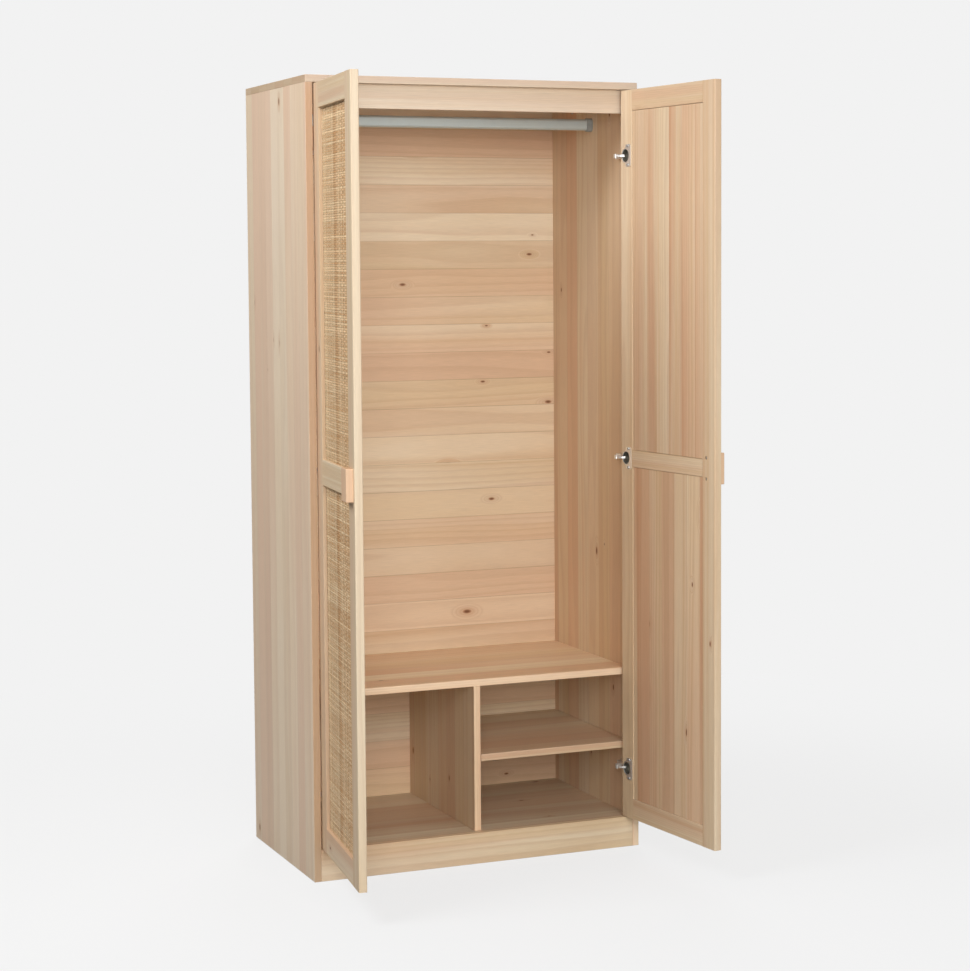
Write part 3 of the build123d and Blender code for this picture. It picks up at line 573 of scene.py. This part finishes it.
cane_material = cane()
for seed, (body, level) in enumerate(
    (body, level) for body in ("left_door", "right_door") for level in ("upper", "lower")
):
    cane_sheet(f"{body}_{level}_cane", body, seed + FIRST_CANE_SEED, cane_material)

# ---- stage ----
PAPER = 0.888
FLOOR_SIZE = 60.0
FLOOR_BOUNCE = 0.35
FLOOR_DROP = 0.0005
SHADOW_REACH = (0.9, 2.6)
GLOW_NEAR = 0.85


def floor():
    """A pale floor that takes a soft shadow near the object and fades into the backdrop far from it."""
    mesh = bpy.data.meshes.new("floor")
    half = FLOOR_SIZE / 2
    corners = [(-half, -half, 0), (half, -half, 0), (half, half, 0), (-half, half, 0)]
    mesh.from_pydata(corners, [], [(0, 1, 2, 3)])
    sheet = bpy.data.objects.new("floor", mesh)
    sheet.location.z = -FLOOR_DROP
    bpy.context.scene.collection.objects.link(sheet)
    n = Nodes("floor")
    point = n.add("TexCoord").outputs["Object"]
    far = n.add("VectorMath", {0: point}, operation="LENGTH").outputs["Value"]
    glow = n.step(far, *SHADOW_REACH, GLOW_NEAR, 1.0)
    matt = n.add("BsdfDiffuse", {"Color": (PAPER, PAPER, PAPER, 1)})
    light = n.add("Emission", {"Color": (PAPER, PAPER, PAPER, 1), "Strength": 1.0})
    both = n.add("MixShader", {0: glow, 1: matt.outputs[0], 2: light.outputs[0]})
    dim = n.add("BsdfDiffuse", {"Color": (FLOOR_BOUNCE, FLOOR_BOUNCE, FLOOR_BOUNCE, 1)})
    seen = n.add("LightPath").outputs["Is Camera Ray"]
    shown = n.add("MixShader", {0: seen, 1: dim.outputs[0], 2: both.outputs[0]})
    n.add("OutputMaterial", {0: shown.outputs[0]})
    mesh.materials.append(n.material)


floor()

world = bpy.data.worlds.new("studio")
bpy.context.scene.world = world
world.use_nodes = True
tree = world.node_tree
tree.nodes.clear()
AMBIENT_LOW = 0.1
AMBIENT_HIGH = 0.36
AMBIENT_SPAN = (-0.3, 0.9)
sky = tree.nodes.new("ShaderNodeTexCoord")
split = tree.nodes.new("ShaderNodeSeparateXYZ")
height = tree.nodes.new("ShaderNodeMapRange")
height.inputs["From Min"].default_value, height.inputs["From Max"].default_value = AMBIENT_SPAN
height.inputs["To Min"].default_value = AMBIENT_LOW
height.inputs["To Max"].default_value = AMBIENT_HIGH
seen = tree.nodes.new("ShaderNodeLightPath")
backdrop = tree.nodes.new("ShaderNodeBackground")
backdrop.inputs["Color"].default_value = (PAPER, PAPER, PAPER, 1)
ambient = tree.nodes.new("ShaderNodeBackground")
choose = tree.nodes.new("ShaderNodeMixShader")
tree.links.new(sky.outputs["Generated"], split.inputs[0])
tree.links.new(split.outputs["Z"], height.inputs["Value"])
tree.links.new(height.outputs[0], ambient.inputs["Strength"])
tree.links.new(seen.outputs["Is Camera Ray"], choose.inputs[0])
tree.links.new(ambient.outputs[0], choose.inputs[1])
tree.links.new(backdrop.outputs[0], choose.inputs[2])
tree.links.new(choose.outputs[0], tree.nodes.new("ShaderNodeOutputWorld").inputs[0])


def softbox(name, place, target, size, power, colour):
    """A rectangular area light that faces a target."""
    light = bpy.data.lights.new(name, "AREA")
    light.shape = "RECTANGLE"
    light.size, light.size_y = size
    light.energy = power
    light.color = colour
    lamp = bpy.data.objects.new(name, light)
    lamp.location = place
    lamp.rotation_euler = (Vector(target) - Vector(place)).to_track_quat("-Z", "Y").to_euler()
    bpy.context.scene.collection.objects.link(lamp)


# name: (place, size, watts, colour)
SOFTBOXES = {
    "key": ((-1.2, -5.4, 2.25), (3.2, 2.6), 204, (1, 1, 1)),
    "high_left": ((-2.9, -1.0, 3.7), (1.8, 1.8), 112, (0.96, 0.98, 1.0)),
    "fill": ((3.0, -4.6, 1.6), (2.4, 2.4), 35, (1, 1, 1)),
    "behind": ((2.2, 4.8, 2.0), (3.0, 2.6), 190, (1, 1, 1)),
}
centre = (cad_box[0] + cad_box[1]) / 2
for name, (place, size, power, colour) in SOFTBOXES.items():
    softbox(name, place, centre, size, power, colour)

# ---- camera ----
CAMERA_PLACE = (-2.2034, -5.5905, 1.5432)
CAMERA_YAW = radians(22.587)
CAMERA_PITCH = radians(4.112)
CAMERA_ROLL = radians(-0.399)
CAMERA_LENS = 84.72
CAMERA_SHIFT_Y = -0.0618

ahead = Vector((
    sin(CAMERA_YAW) * cos(CAMERA_PITCH),
    cos(CAMERA_YAW) * cos(CAMERA_PITCH),
    -sin(CAMERA_PITCH),
))
level = Vector((cos(CAMERA_YAW), -sin(CAMERA_YAW), 0))
above = level.cross(ahead)
right = level * cos(CAMERA_ROLL) + above * sin(CAMERA_ROLL)
up = above * cos(CAMERA_ROLL) - level * sin(CAMERA_ROLL)
camera_data = bpy.data.cameras.new("camera")
camera_data.lens = CAMERA_LENS
camera_data.shift_y = CAMERA_SHIFT_Y
camera = bpy.data.objects.new("camera", camera_data)
facing = Matrix((right, up, -ahead)).transposed().to_4x4()
camera.matrix_world = Matrix.Translation(CAMERA_PLACE) @ facing
bpy.context.scene.collection.objects.link(camera)
bpy.context.scene.camera = camera
bpy.context.scene.view_settings.view_transform = "Standard"
